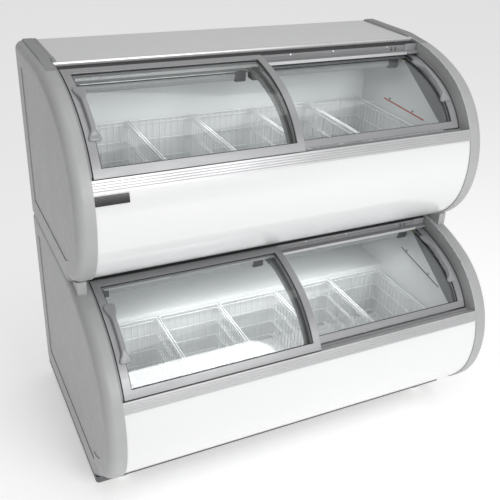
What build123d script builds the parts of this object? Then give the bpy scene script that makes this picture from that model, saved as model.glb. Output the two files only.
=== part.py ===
from build123d import *
import os
from math import sin, cos, radians

# Double-deck display freezer for packed ice cream. Millimetres.
# +Z up, -Y towards the customer, X along the width, origin on the floor under the middle.

os.makedirs("parts", exist_ok=True)

# ---------------------------------------------------------------- driving dimensions
WIDTH = 1500.0
CHEEK_T = 60.0            # thickness of a moulded end cheek
INNER = WIDTH / 2 - CHEEK_T
CASTER_H = 60.0           # floor to the underside of the base pan
UPPER_TOP = 1365.0        # deck height above the base pan's underside
LOWER_TOP = 717.0         # seam between the two units, above the same plane
LOWER_FORWARD = 213.0     # the lower deck stands this far in front of the upper one
PAN_H = 25.0              # height of the base pan
TOE = 769.0               # base pan's front, in front of the back plane

# The front of each deck is three tangent arcs, each (radius, angle where it ends).
# Angles are measured from straight up towards the customer.
ARC_START = 270.0         # the first arc leaves the flat top this far from the back plane
ARCS = [(680.0, 26.0), (345.0, 105.0), (250.0, 180.0)]
BULGE = ARC_START + (ARCS[0][0] - ARCS[1][0]) * sin(radians(ARCS[0][1])) + ARCS[1][0]
DEPTH = BULGE + LOWER_FORWARD       # back sheet to the foremost point of the lower deck
BACK = DEPTH / 2                    # y of the back plane

# Angles and depths of what lies along that front
LID_T = 18.0              # thickness of a sliding lid
LID_IN = {"left": 6.0, "right": 50.0}            # outer face below the cheek's curve
LID_TOP = {"left": 8.1, "right": 4.5}
LID_BOTTOM = {"left": 65.3, "right": 63.3}
LID_W = 697.0
LID_GAP = 9.0             # lid's edge to the cheek
STILE_W = 26.0
TOP_RAIL = 2.7            # degrees of arc
BOTTOM_RAIL = 4.8
GLASS_IN, GLASS_T, GLASS_BITE = 6.0, 4.0, 7.0
BUMPER_TOP, BUMPER_BOTTOM, BUMPER_T = 65.9, 72.6, 40.0
SKIN_IN, SKIN_T = 4.0, 2.5
SEGMENT_IN, SEGMENT_FIRST = 74.0, 8.5    # side segments lie below the inner lid
SILL_IN, SILL_FIRST = 78.0, 64.3         # top of the front sill, and the angle where it starts
RIB_W = 5.0               # guide rib on each cheek, beside the lids
RIB_IN = {-1: 5.0, 1: 46.0}
RIB_FIRST = 9.0

# Tub
TUB_X = 648.0             # half of the tub's inside width
LINER_T = 2.0
TUB_BACK = 100.0          # inside of the tub's rear wall, in front of the back plane
CEILING = 65.0            # tub ceiling below the deck
MOUTH_FRONT = (652.0, 273.0)    # (in front of the back plane, below the deck)
MOUTH_SLOPE = 0.6476      # fall of the mouth per millimetre towards the customer
LEDGE_Z, LEDGE_Y = 405.0, 400.0
LOWER_FLOOR = 150.0
UPPER_FLOOR = 822.0

BASKETS = 5
BASKET_PITCH = 254.0
BASKET_WALL = 3.0

DECK_Y = 322.5            # front of the top sheet
DECK_T = 2.5
NOSE_H = 14.0             # the sheet's turned-down front
HEADER_Y = 262.0          # rear face of the lid header
HEADER_LOW = 79.0         # its underside, below the deck

SEGMENT_TIP = (MOUTH_FRONT[0] - (MOUTH_FRONT[1] - HEADER_LOW) / MOUTH_SLOPE, HEADER_LOW)

DECKS = {"upper": (0.0, UPPER_TOP), "lower": (LOWER_FORWARD, LOWER_TOP)}
LAST_ANGLE = {"upper": 163.3, "lower": 169.0}     # where each front meets what it stands on
FOOT = {"upper": LOWER_TOP, "lower": PAN_H}


# ---------------------------------------------------------------- shared geometry
def place(deck, forward, below):
    """(y, z) of a point given in front of the back plane and below the deck's top, shifted with it."""
    ahead, top = DECKS[deck]
    return (BACK - ahead - forward, CASTER_H + top - below)


def level(forward, height):
    """(y, z) of a point in front of the back plane and above the base pan's underside."""
    return (BACK - forward, CASTER_H + height)


def arc_centres(deck):
    """Centres of the deck's three front arcs."""
    y, z = place(deck, ARC_START, ARCS[0][0])
    centres = [(y, z)]
    for (big, turn), (small, _) in zip(ARCS, ARCS[1:]):
        step = big - small
        y -= step * sin(radians(turn))
        z += step * cos(radians(turn))
        centres.append((y, z))
    return centres


def front_point(deck, inset, angle):
    """(y, z) on the deck's front, inset below its curve, at an angle from straight up."""
    for (radius, end), (y, z) in zip(ARCS, arc_centres(deck)):
        if angle <= end:
            reach = radius - inset
            return (y - reach * sin(radians(angle)), z + reach * cos(radians(angle)))
    raise ValueError("angle beyond the front")


def front_arcs(deck, inset, first, last):
    """Adds the deck's front curve between two angles to the open BuildLine."""
    start = 0.0
    for (radius, end), centre in zip(ARCS, arc_centres(deck)):
        low, high = max(first, start), min(last, end)
        if high > low:
            CenterArc(centre, radius - inset, 90 + low, high - low)
        start = end


def band(deck, outer, inner, first, last):
    """Sketch on the YZ plane of the strip between two insets and two angles."""
    with BuildLine() as edge:
        front_arcs(deck, outer, first, last)
        Line(front_point(deck, outer, last), front_point(deck, inner, last))
        front_arcs(deck, inner, first, last)
        Line(front_point(deck, inner, first), front_point(deck, outer, first))
    make_face(edge.edges())


def outline(points):
    """Sketch face through a closed list of (y, z) points."""
    with BuildLine() as edge:
        Polyline(*points, close=True)
    make_face(edge.edges())


def save(builder, name):
    """Labels a finished piece and writes it."""
    builder.part.label = name
    export_step(builder.part, f"parts/{name}.step")


def cheek_outline(deck, inset=0.0):
    """End view of a deck, pulled in all round by an inset."""
    top = place(deck, 0, 0)[1] - inset
    back = BACK - inset
    last = LAST_ANGLE[deck]
    floor = CASTER_H + FOOT[deck] + inset
    start = place(deck, ARC_START, 0)[0]
    end = front_point(deck, inset, last)
    with BuildLine() as edge:
        Line((back, floor), (back, top))
        Line((back, top), (start, top))
        front_arcs(deck, inset, 0, last)
        Line(end, (end[0], floor))
        Line((end[0], floor), (back, floor))
    make_face(edge.edges())


# ---------------------------------------------------------------- end cheeks
CHEEK_WALL = 12.0         # thickness of the outer side
CHEEK_RIM = 80.0          # solid depth behind the curved edge, past the inner lid's track
CHEEK_ROUND = 30.0
EMBOSS_MARGIN, EMBOSS_DEPTH = 72.0, 3.0  # shallow panel in the outer side
CAVITY = CHEEK_T - CHEEK_WALL - EMBOSS_DEPTH


for deck in DECKS:
    for side, sign in (("left", -1), ("right", 1)):
        with BuildPart() as cheek:
            with BuildSketch(Plane.YZ.offset(sign * INNER)):
                cheek_outline(deck)
            extrude(amount=sign * CHEEK_T)
            outer_face = cheek.faces().sort_by(Axis.X)[-1 if sign > 0 else 0]
            back_y = cheek.faces().sort_by(Axis.Y)[-1].center().Y
            rounded = [e for e in outer_face.edges() if e.bounding_box().min.Y < back_y - 1
                       and e.bounding_box().max.Z > cheek.part.bounding_box().min.Z + 1]
            fillet(rounded, CHEEK_ROUND)
            with BuildSketch(Plane.YZ.offset(sign * WIDTH / 2)):
                cheek_outline(deck, EMBOSS_MARGIN)
            extrude(amount=-sign * EMBOSS_DEPTH, mode=Mode.SUBTRACT)
            with BuildSketch(Plane.YZ.offset(sign * INNER)):
                cheek_outline(deck, CHEEK_RIM)
            extrude(amount=sign * CAVITY, mode=Mode.SUBTRACT)
        save(cheek, f"{deck}_{side}_cheek")

# ---------------------------------------------------------------- tub liners and insulation


def tub_outline(deck, grow=0.0):
    """Side view of a tub's hollow, grown by the liner's thickness when asked, open at the mouth."""
    ceiling = place(deck, 0, CEILING)[1] + grow
    back = BACK - TUB_BACK + grow
    front_top = place(deck, MOUTH_FRONT[0] + grow, MOUTH_FRONT[1])
    mouth_back = place(deck, HEADER_Y, CEILING)[0]
    above = place(deck, MOUTH_FRONT[0] + grow, -20)
    points = [(back, ceiling)]
    if deck == "upper":
        points += [(back, level(0, UPPER_FLOOR)[1] - grow), level(630 + grow, UPPER_FLOOR - grow)]
    else:
        points += [(back, level(0, LEDGE_Z)[1] - grow), level(LEDGE_Y - grow, LEDGE_Z - grow),
                   level(LEDGE_Y - grow, LOWER_FLOOR - grow), level(838 + grow, LOWER_FLOOR - grow)]
    points += [front_top, above, (mouth_back, above[1]), (mouth_back, ceiling)]
    outline(points)


def above_mouth(deck):
    """Everything above the sloping mouth of a tub and below its header, in side view."""
    points = [(MOUTH_FRONT[0] + 60, MOUTH_FRONT[1]), MOUTH_FRONT, SEGMENT_TIP, (HEADER_Y, HEADER_LOW),
              (HEADER_Y, -40), (MOUTH_FRONT[0] + 60, -40)]
    outline([place(deck, *p) for p in points])


for deck in DECKS:
    with BuildPart() as liner:
        with BuildSketch(Plane.YZ):
            tub_outline(deck, LINER_T)
        extrude(amount=TUB_X + LINER_T, both=True)
        with BuildSketch(Plane.YZ):
            tub_outline(deck)
        extrude(amount=TUB_X, both=True, mode=Mode.SUBTRACT)
        with BuildSketch(Plane.YZ):
            above_mouth(deck)
        extrude(amount=WIDTH, both=True, mode=Mode.SUBTRACT)
    save(liner, f"{deck}_liner")

SKIN_BACK = SKIN_IN + SKIN_T
BAY_Y, BAY_TOP = 345.0, 350.0          # machine bay behind and below the lower tub


def heel(deck, height):
    """(y, z) behind the foot of a deck's front skin."""
    return (front_point(deck, SKIN_IN, LAST_ANGLE[deck])[0] + SKIN_T, CASTER_H + height)


for deck in DECKS:
    with BuildPart() as foam:
        top = place(deck, 0, DECK_T)[1]
        rear = BACK - 2.0
        last = LAST_ANGLE[deck]
        with BuildSketch(Plane.YZ):
            with BuildLine():
                if deck == "upper":
                    under = [heel(deck, LOWER_TOP + 2), (rear, level(0, LOWER_TOP + 2)[1])]
                else:
                    under = [heel(deck, PAN_H), level(BAY_Y, PAN_H), level(BAY_Y, BAY_TOP),
                             (rear, level(0, BAY_TOP)[1])]
                Polyline(front_point(deck, SKIN_BACK, last), *under, (rear, top),
                         place(deck, HEADER_Y, DECK_T), place(deck, HEADER_Y, HEADER_LOW),
                         place(deck, MOUTH_FRONT[0], HEADER_LOW),
                         place(deck, MOUTH_FRONT[0], MOUTH_FRONT[1] + 17),
                         place(deck, MOUTH_FRONT[0] + LINER_T, MOUTH_FRONT[1] + 17),
                         front_point(deck, BUMPER_T, BUMPER_BOTTOM),
                         front_point(deck, SKIN_BACK, BUMPER_BOTTOM))
                front_arcs(deck, SKIN_BACK, BUMPER_BOTTOM, last)
            make_face()
        extrude(amount=INNER, both=True)
        with BuildSketch(Plane.YZ):
            tub_outline(deck, LINER_T)
        extrude(amount=TUB_X + LINER_T, both=True, mode=Mode.SUBTRACT)
        with BuildSketch(Plane.YZ):
            above_mouth(deck)
        extrude(amount=WIDTH, both=True, mode=Mode.SUBTRACT)
        with BuildSketch(Plane.YZ.offset(INNER)):
            cheek_outline(deck, CHEEK_RIM)
        extrude(amount=CAVITY)
        mirror(about=Plane.YZ)
    save(foam, f"{deck}_insulation")

# ---------------------------------------------------------------- sheet metal between the cheeks
for deck in DECKS:
    with BuildPart() as sheet:
        top = place(deck, 0, 0)[1]
        nose = place(deck, DECK_Y, 0)[0]
        with BuildSketch(Plane.YZ):
            outline([(BACK, top), (nose, top), (nose, top - NOSE_H), (nose + DECK_T, top - NOSE_H),
                     (nose + DECK_T, top - DECK_T), (BACK, top - DECK_T)])
        extrude(amount=INNER, both=True)
        nose_edge = sheet.edges().filter_by(Axis.X).sort_by(Axis.Y).group_by(Axis.Z)[-1]
        fillet(nose_edge.sort_by(Axis.Y)[0], 2.2)
    save(sheet, f"{deck}_top_sheet")

    with BuildPart() as skin:
        last = LAST_ANGLE[deck]
        end_out, end_in = front_point(deck, SKIN_IN, last), front_point(deck, SKIN_BACK, last)
        foot = CASTER_H + FOOT[deck]
        with BuildSketch(Plane.YZ):
            with BuildLine():
                front_arcs(deck, SKIN_IN, BUMPER_BOTTOM, last)
                Polyline(end_out, (end_out[0], foot), (end_out[0] + SKIN_T, foot), end_in)
                front_arcs(deck, SKIN_BACK, BUMPER_BOTTOM, last)
                Line(front_point(deck, SKIN_BACK, BUMPER_BOTTOM),
                     front_point(deck, SKIN_IN, BUMPER_BOTTOM))
            make_face()
        extrude(amount=INNER, both=True)
    save(skin, f"{deck}_front_panel")

with BuildPart() as bottom_sheet:
    with BuildSketch(Plane.YZ):
        toe, seam = heel("upper", LOWER_TOP)
        outline([(toe, seam), (BACK, seam), (BACK, seam + 2), (toe, seam + 2)])
    extrude(amount=INNER, both=True)
save(bottom_sheet, "upper_bottom_sheet")

SCREW_X = (-670, -225, 225, 670)
SCREW_Z = (40, 335, 365, 700, 735, 1345)
SCREW_R, SCREW_T = 4.2, 1.0


def screw_heads(mode):
    """Flush heads along the edges of the rear sheets, or the seats they lie in."""
    with BuildSketch(Plane.XZ.offset(-BACK)) as heads:
        with Locations(*[(x, CASTER_H + z) for x in SCREW_X for z in SCREW_Z]):
            Circle(SCREW_R)
    extrude(heads.sketch, amount=SCREW_T, mode=mode)


BACK_SHEETS = {"upper": (LOWER_TOP + 2, UPPER_TOP - DECK_T), "lower": (BAY_TOP, LOWER_TOP - DECK_T)}
PRESSINGS = 5             # shallow rounded pressings that stiffen each rear sheet
PRESSING_W, PRESSING_DEPTH = 170.0, 0.8
for deck, (low, high) in BACK_SHEETS.items():
    with BuildPart() as back_sheet:
        with BuildSketch(Plane.XZ.offset(-BACK)):
            with Locations((0, CASTER_H + (low + high) / 2)):
                Rectangle(2 * INNER, high - low)
        extrude(amount=2.0)
        with BuildSketch(Plane.XZ.offset(-BACK)):
            with Locations((0, CASTER_H + (low + high) / 2)):
                with GridLocations(2 * INNER / PRESSINGS, 1, PRESSINGS, 1):
                    RectangleRounded(PRESSING_W, (high - low) * 0.78, 12)
        extrude(amount=PRESSING_DEPTH, mode=Mode.SUBTRACT)
        screw_heads(Mode.SUBTRACT)
    save(back_sheet, f"{deck}_back_sheet")

# ---------------------------------------------------------------- bumper rails and lid surrounds
GROOVES = 4
for deck in DECKS:
    with BuildPart() as bumper:
        with BuildSketch(Plane.YZ):
            band(deck, 0.0, BUMPER_T, BUMPER_TOP, BUMPER_BOTTOM)
        extrude(amount=INNER, both=True)
        pitch = (BUMPER_BOTTOM - BUMPER_TOP) / (GROOVES + 1)
        with BuildSketch(Plane.YZ):
            for i in range(GROOVES):
                with Locations(front_point(deck, 0.0, BUMPER_TOP + (i + 1) * pitch)):
                    Circle(1.6)
        extrude(amount=INNER, both=True, mode=Mode.SUBTRACT)
    save(bumper, f"{deck}_bumper_rail")

    with BuildPart() as surround:
        header = [(HEADER_Y, HEADER_LOW), (HEADER_Y, DECK_T), (320, DECK_T), (320, 15.5), (358, 15.5),
                  (360, 37), (378, 40), (378, 49), (314, 47), (314, HEADER_LOW)]
        with BuildSketch(Plane.YZ):
            outline([place(deck, *p) for p in header])
        extrude(amount=INNER, both=True)
        with BuildSketch(Plane.YZ):
            sill = [front_point(deck, BUMPER_T, SILL_FIRST), front_point(deck, SILL_IN, SILL_FIRST),
                    place(deck, MOUTH_FRONT[0] + LINER_T, MOUTH_FRONT[1]),
                    place(deck, MOUTH_FRONT[0] + LINER_T, MOUTH_FRONT[1] + 17),
                    front_point(deck, BUMPER_T, BUMPER_BOTTOM)]
            outline(sill)
        extrude(amount=INNER, both=True)
        with BuildSketch(Plane.YZ.offset(TUB_X)):
            with BuildLine():
                ahead = ARC_START + (ARCS[0][0] - SEGMENT_IN) * sin(radians(SEGMENT_FIRST))
                fall = (ahead - SEGMENT_TIP[0]) * MOUTH_SLOPE
                front_arcs(deck, SEGMENT_IN, SEGMENT_FIRST, SILL_FIRST)
                Polyline(front_point(deck, SEGMENT_IN, SILL_FIRST), front_point(deck, 60, 66.5),
                         place(deck, MOUTH_FRONT[0] + 12, MOUTH_FRONT[1] + 10),
                         place(deck, *MOUTH_FRONT), place(deck, ahead, HEADER_LOW + fall),
                         front_point(deck, SEGMENT_IN, SEGMENT_FIRST))
            make_face()
        extrude(amount=INNER - TUB_X)
        mirror(about=Plane.YZ)
        for sign, rib_in in RIB_IN.items():
            with BuildSketch(Plane.YZ.offset(sign * INNER)):
                band(deck, rib_in, SEGMENT_IN + 1, RIB_FIRST, SILL_FIRST)
            extrude(amount=-sign * RIB_W)
    save(surround, f"{deck}_lid_surround")


# ---------------------------------------------------------------- sliding lids
HANDLE_W, HANDLE_EDGE = 44.0, 5.0          # grip's width, and its side to the lid's edge
HANDLE_SPAN = {"left": (18.4, 46.4), "right": (13.1, 43.0)}     # angles where it starts and ends
HANDLE_RISE = 16.0
WAIST, WAIST_R = 11.0, 300.0               # half width at the narrowest, and the curve that makes it
BITE_ANGLE = 0.9                           # glass edge held in the upper and lower rails


def lid_edges(side):
    """(low x, high x) of a closed lid."""
    stop = INNER - LID_GAP
    return (-stop, -stop + LID_W) if side == "left" else (stop - LID_W, stop)


for deck in DECKS:
    for side in LID_IN:
        outer, first, last = LID_IN[side], LID_TOP[side], LID_BOTTOM[side]
        low, high = lid_edges(side)
        glass_in = outer + GLASS_IN
        pane_first, pane_last = first + TOP_RAIL - BITE_ANGLE, last - BOTTOM_RAIL + BITE_ANGLE

        with BuildPart() as glass:
            with BuildSketch(Plane.YZ.offset(low + STILE_W - GLASS_BITE)):
                band(deck, glass_in, glass_in + GLASS_T, pane_first, pane_last)
            extrude(amount=LID_W - 2 * (STILE_W - GLASS_BITE))
        save(glass, f"{deck}_lid_{side}_glass")

        with BuildPart() as frame:
            with BuildSketch(Plane.YZ.offset(low)):
                band(deck, outer, outer + LID_T, first, last)
            extrude(amount=LID_W)
            with BuildSketch(Plane.YZ.offset(low + STILE_W)):
                band(deck, outer - 5, outer + LID_T + 5, first + TOP_RAIL, last - BOTTOM_RAIL)
            extrude(amount=LID_W - 2 * STILE_W, mode=Mode.SUBTRACT)
            add(glass.part, mode=Mode.SUBTRACT)
        save(frame, f"{deck}_lid_{side}_frame")

        grip_off = HANDLE_W / 2 + HANDLE_EDGE
        grip_x = low + grip_off if side == "left" else high - grip_off
        grip_first, grip_last = HANDLE_SPAN[side]
        middle = (grip_first + grip_last) / 2
        y, z = front_point(deck, outer, middle)
        normal = (0, -sin(radians(middle)), cos(radians(middle)))
        with BuildPart() as handle:
            with BuildSketch(Plane.YZ.offset(grip_x - HANDLE_W / 2)):
                band(deck, outer - HANDLE_RISE, outer, grip_first, grip_last)
            extrude(amount=HANDLE_W)
            across = Plane(origin=(grip_x, y, z), x_dir=(1, 0, 0), z_dir=normal)
            with BuildSketch(across):
                with Locations((WAIST + WAIST_R, 0), (-WAIST - WAIST_R, 0)):
                    Circle(WAIST_R)
            extrude(amount=60, both=True, mode=Mode.SUBTRACT)
        save(handle, f"{deck}_lid_{side}_handle")

# ---------------------------------------------------------------- lamps, evaporators, baskets
LAMP_R = 17.0
LAMP_MIDDLE = (298.0, 98.0)
for deck in DECKS:
    y, z = place(deck, *LAMP_MIDDLE)
    with BuildPart() as lamp:
        for start in (-TUB_X + 12, 22):
            length = TUB_X - 34
            with BuildSketch(Plane.YZ.offset(start)):
                with Locations((y, z)):
                    Circle(LAMP_R)
            extrude(amount=length)
            for end in (start - 10, start + length):
                with BuildSketch(Plane.YZ.offset(end)):
                    with Locations((y, z + 1)):
                        RectangleRounded(2 * LAMP_R + 2, 2 * LAMP_R, 5)
                extrude(amount=10)
    save(lamp, f"{deck}_lamp")

TUBE_R = 4.75
COIL = {"upper": (130.0, 480.0, 8), "lower": (120.0, 290.0, 4)}
for deck, (high, low, runs) in COIL.items():
    y = BACK - TUB_BACK + LINER_T + TUBE_R + 1
    pitch = (low - high) / (runs - 1)
    reach = 560.0
    with BuildPart() as coil:
        with BuildLine(Plane.XZ.offset(-y)) as route:
            points = []
            for i in range(runs):
                z = place(deck, 0, high + i * pitch)[1]
                ends = [(-reach, z), (reach, z)]
                points += ends if i % 2 == 0 else ends[::-1]
            FilletPolyline(*points, radius=pitch / 2 - 0.5)
        with BuildSketch(Plane(origin=route.line @ 0, z_dir=route.line % 0)):
            Circle(TUBE_R)
        sweep()
    save(coil, f"{deck}_evaporator_tube")

BASKET_SIDE = {
    "upper": [(107.0, 290.0), (107.0, 539.0), (624.0, 539.0), (645.0, 290.0)],
    "lower": [(194.0, 325.0), (194.0, 563.0), (618.0, 563.0), (645.0, 325.0)],
}
for deck, corners in BASKET_SIDE.items():
    with BuildPart() as baskets:
        for i in range(BASKETS):
            left = -TUB_X + 2 + i * BASKET_PITCH
            outer_w = BASKET_PITCH - 4
            (b, rim), (_, floor), (front_low, _), (front_high, _) = corners
            shell = [place(deck, *p) for p in corners]
            w = BASKET_WALL
            hollow = [(b + w, rim - 20), (b + w, floor - w), (front_low - w, floor - w),
                      (front_high - w, rim), (front_high - w, rim - 20)]
            with BuildSketch(Plane.YZ.offset(left)):
                outline(shell)
            extrude(amount=outer_w)
            with BuildSketch(Plane.YZ.offset(left + w)):
                outline([place(deck, *p) for p in hollow])
            extrude(amount=outer_w - 2 * w, mode=Mode.SUBTRACT)
    save(baskets, f"{deck}_baskets")

# ---------------------------------------------------------------- trims, spacers, badge
TRIM_T, TRIM_W, TRIM_ROUND = 6.0, 35.0, 3.0
TRIM_END = 9.5            # angle where the strip has run out into the cheek's curve
with BuildPart() as trims:
    with BuildSketch(Plane.YZ.offset(INNER)):
        with BuildLine():
            start, top = place("upper", ARC_START, 0)
            rear = BACK - TRIM_T
            Polyline((start, top), (rear, top), (rear, top + TRIM_T), (start, top + TRIM_T))
            Polyline((start, top + TRIM_T), front_point("upper", -0.6, TRIM_END),
                     front_point("upper", 0, TRIM_END))
            front_arcs("upper", 0, 0, TRIM_END)
        make_face()
    extrude(amount=TRIM_W)
    outer_side = trims.faces().sort_by(Axis.X)[-1]
    top_edge = outer_side.edges().filter_by(Axis.Y).sort_by(Axis.Z)[-1]
    fillet(top_edge, TRIM_ROUND)
    mirror(about=Plane.YZ)
save(trims, "top_trim_strips")

SPACER_X, SPACER_W = 706.0, 30.0
SPACER_FRONT, SPACER_REAR = 640.0, 583.0   # in front of the back plane
SPACER_LOW, SPACER_HIGH = 690.0, 745.0     # above the base pan's underside
with BuildPart() as spacers:
    with BuildSketch(Plane.YZ.offset(SPACER_X)):
        outline([level(SPACER_REAR, SPACER_HIGH), level(SPACER_FRONT, SPACER_HIGH),
                 level(SPACER_FRONT, SPACER_LOW), level(SPACER_REAR, SPACER_LOW)])
    extrude(amount=SPACER_W)
    for deck in DECKS:
        with BuildSketch(Plane.YZ.offset(INNER)):
            cheek_outline(deck)
        extrude(amount=CHEEK_T, mode=Mode.SUBTRACT)
    mirror(about=Plane.YZ)
save(spacers, "unit_spacers")

BADGE_W, BADGE_T = 104.0, 2.5
BADGE_TOP, BADGE_BOTTOM = 73.6, 78.6       # angles on the front
with BuildPart() as badge:
    with BuildSketch(Plane.YZ.offset(-INNER + 1)):
        band("upper", SKIN_IN - BADGE_T, SKIN_IN, BADGE_TOP, BADGE_BOTTOM)
    extrude(amount=BADGE_W)
save(badge, "badge_plate")

# ---------------------------------------------------------------- base pan and casters
PAN_WALL = 3.0
PAN_CORNER = 14.0
toe_y = BACK - TOE
with BuildPart() as pan:
    with BuildSketch(Plane.XY.offset(CASTER_H)):
        with Locations((0, (BACK + toe_y) / 2)):
            RectangleRounded(WIDTH, BACK - toe_y, PAN_CORNER)
    extrude(amount=PAN_H)
    with BuildSketch(Plane.XY.offset(CASTER_H + PAN_WALL)):
        with Locations((0, (BACK + toe_y) / 2)):
            RectangleRounded(WIDTH - 2 * PAN_WALL, BACK - toe_y - 2 * PAN_WALL, PAN_CORNER - PAN_WALL)
    extrude(amount=PAN_H, mode=Mode.SUBTRACT)
save(pan, "base_pan")

CASTER_X, CASTER_FRONT, CASTER_REAR = 655.0, 712.0, 80.0
CASTERS = {
    "front_left": (-CASTER_X, CASTER_FRONT), "front_right": (CASTER_X, CASTER_FRONT),
    "rear_left": (-CASTER_X, CASTER_REAR), "rear_right": (CASTER_X, CASTER_REAR),
}
WHEEL_R, WHEEL_W, TRAIL = 23.0, 18.0, 17.0
PLATE = 60.0
PIN_R, PIN_HEAD = 6.0, 9.0
AXLE_R = 3.0
RUNNING = 0.05            # radial clearance of a turning fit
FORK_TOP, FORK_T = 56.4, 2.5

with BuildPart() as plates:
    for x, ahead in CASTERS.values():
        with BuildSketch(Plane.XY.offset(CASTER_H)):
            with Locations((x, BACK - ahead)):
                RectangleRounded(PLATE, PLATE, 6)
        extrude(amount=-3)
        with BuildSketch(Plane.XY.offset(CASTER_H - 3)):
            with Locations((x, BACK - ahead)):
                Circle(PIN_R)
        extrude(amount=-(3.6 + FORK_T))
        with BuildSketch(Plane.XY.offset(FORK_TOP - FORK_T - 0.3)):
            with Locations((x, BACK - ahead)):
                Circle(PIN_HEAD)
        extrude(amount=-1.6)
save(plates, "caster_plates")

for corner, (x, ahead) in CASTERS.items():
    y = BACK - ahead
    axle_x = x + TRAIL
    leg_in = WHEEL_W / 2 + 1.2
    with BuildPart() as fork:
        with BuildSketch(Plane.XY.offset(FORK_TOP)):
            with Locations((x, y)):
                Circle(21)
            with Locations((x + TRAIL / 2 + 2, y)):
                Rectangle(TRAIL + 18, 2 * (leg_in + FORK_T))
        extrude(amount=-FORK_T)
        with BuildSketch(Plane.XY.offset(FORK_TOP)):
            with Locations((x, y)):
                Circle(PIN_R + RUNNING)
        extrude(amount=-FORK_T, mode=Mode.SUBTRACT)
        for sign in (-1, 1):
            with BuildSketch(Plane.XZ.offset(-(y + sign * (leg_in + FORK_T / 2)))):
                with BuildLine():
                    Polyline((x - 7, FORK_TOP), (x + TRAIL + 11, FORK_TOP), (axle_x + 7, WHEEL_R),
                             (axle_x - 7, WHEEL_R), (x - 7, FORK_TOP - 12), close=True)
                make_face()
                with Locations((axle_x, WHEEL_R)):
                    Circle(7)
            extrude(amount=FORK_T / 2, both=True)
        with BuildSketch(Plane.XZ.offset(-y)):
            with Locations((axle_x, WHEEL_R)):
                Circle(AXLE_R)
        extrude(amount=leg_in + FORK_T + 2, both=True)
    save(fork, f"caster_{corner}_fork")

    with BuildPart() as wheel:
        with BuildSketch(Plane.XZ.offset(-y)):
            with Locations((axle_x, WHEEL_R)):
                Circle(WHEEL_R)
        extrude(amount=WHEEL_W / 2, both=True)
        fillet(wheel.edges().filter_by(GeomType.CIRCLE), 3.0)
        with BuildSketch(Plane.XZ.offset(-y)):
            with Locations((axle_x, WHEEL_R)):
                Circle(AXLE_R + RUNNING)
        extrude(amount=WHEEL_W, both=True, mode=Mode.SUBTRACT)
    save(wheel, f"caster_{corner}_wheel")

# ---------------------------------------------------------------- machine bay
BAY_FLOOR = CASTER_H + PAN_WALL
RECESS_X, RECESS_Z, RECESS_W, RECESS_H, RECESS_D = 520.0, 250.0, 210.0, 120.0, 46.0
SLOT_W, SLOT_H = 190.0, 7.0
SLOTS_X, SLOTS_Z = -130.0, 190.0       # middle of the louvre field
SLOT_COLUMNS, SLOT_ROWS = 4, 13
SLOT_PITCH_X, SLOT_PITCH_Z = 240.0, 18.0
KNOB_X, SWITCH_X, GLAND_X = RECESS_X - 55.0, RECESS_X + 12.0, RECESS_X + 68.0
PANEL_Z = CASTER_H + RECESS_Z          # height of the controls
SPINDLE_R = 4.0
SWITCH_W, SWITCH_H = 24.6, 34.6        # hole the rocker sits in
CABLE_R, GLAND_R = 4.2, 8.0

with BuildPart() as grille:
    grille_h = BAY_TOP - PAN_H
    with BuildSketch(Plane.XZ.offset(-BACK)):
        with Locations((0, CASTER_H + PAN_H + grille_h / 2)):
            Rectangle(2 * INNER, grille_h)
        with Locations((RECESS_X, PANEL_Z)):
            Rectangle(RECESS_W, RECESS_H, mode=Mode.SUBTRACT)
        with Locations((SLOTS_X, CASTER_H + SLOTS_Z)):
            with GridLocations(SLOT_PITCH_X, SLOT_PITCH_Z, SLOT_COLUMNS, SLOT_ROWS):
                SlotOverall(SLOT_W, SLOT_H, mode=Mode.SUBTRACT)
    extrude(amount=2.0)
    screw_heads(Mode.SUBTRACT)
save(grille, "rear_grille")

with BuildPart() as control_box:
    with BuildSketch(Plane.XZ.offset(-BACK)):
        with Locations((RECESS_X, PANEL_Z)):
            Rectangle(RECESS_W, RECESS_H)
    extrude(amount=RECESS_D)
    with BuildSketch(Plane.XZ.offset(-BACK)):
        with Locations((RECESS_X, PANEL_Z)):
            Rectangle(RECESS_W - 5, RECESS_H - 5)
    extrude(amount=RECESS_D - 3, mode=Mode.SUBTRACT)
    face_y = BACK - RECESS_D + 3
    # thermostat spindle, switch frame and mains gland hole
    with BuildSketch(Plane.XZ.offset(-face_y)):
        with Locations((KNOB_X, PANEL_Z)):
            Circle(SPINDLE_R)
    extrude(amount=-16)
    with BuildSketch(Plane.XZ.offset(-face_y)):
        with Locations((SWITCH_X, PANEL_Z)):
            Rectangle(SWITCH_W + 5.4, SWITCH_H + 5.4)
            Rectangle(SWITCH_W, SWITCH_H, mode=Mode.SUBTRACT)
    extrude(amount=-5)
    with BuildSketch(Plane.XZ.offset(-face_y)):
        with Locations((SWITCH_X, PANEL_Z)):
            Rectangle(SWITCH_W, SWITCH_H)
        with Locations((GLAND_X, PANEL_Z)):
            Circle(GLAND_R)
    extrude(amount=3, mode=Mode.SUBTRACT)
save(control_box, "control_box")

KNOB_R, KNOB_T = 21.0, 17.0
with BuildPart() as knob:
    base = face_y + 1.0
    with BuildSketch(Plane.XZ.offset(-base)):
        with Locations((KNOB_X, PANEL_Z)):
            Circle(KNOB_R)
    extrude(amount=-KNOB_T)
    rim = knob.faces().sort_by(Axis.Y)[-1].edges()
    fillet(rim, 2)
    with BuildSketch(Plane.XZ.offset(-(base + KNOB_T))):
        with Locations((KNOB_X, PANEL_Z)):
            Rectangle(7, 2 * KNOB_R - 6)
    extrude(amount=-6)
    with BuildSketch(Plane.XZ.offset(-base)):
        with Locations((KNOB_X, PANEL_Z)):
            Circle(SPINDLE_R + RUNNING)
    extrude(amount=-15.2, mode=Mode.SUBTRACT)
save(knob, "thermostat_knob")

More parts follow.
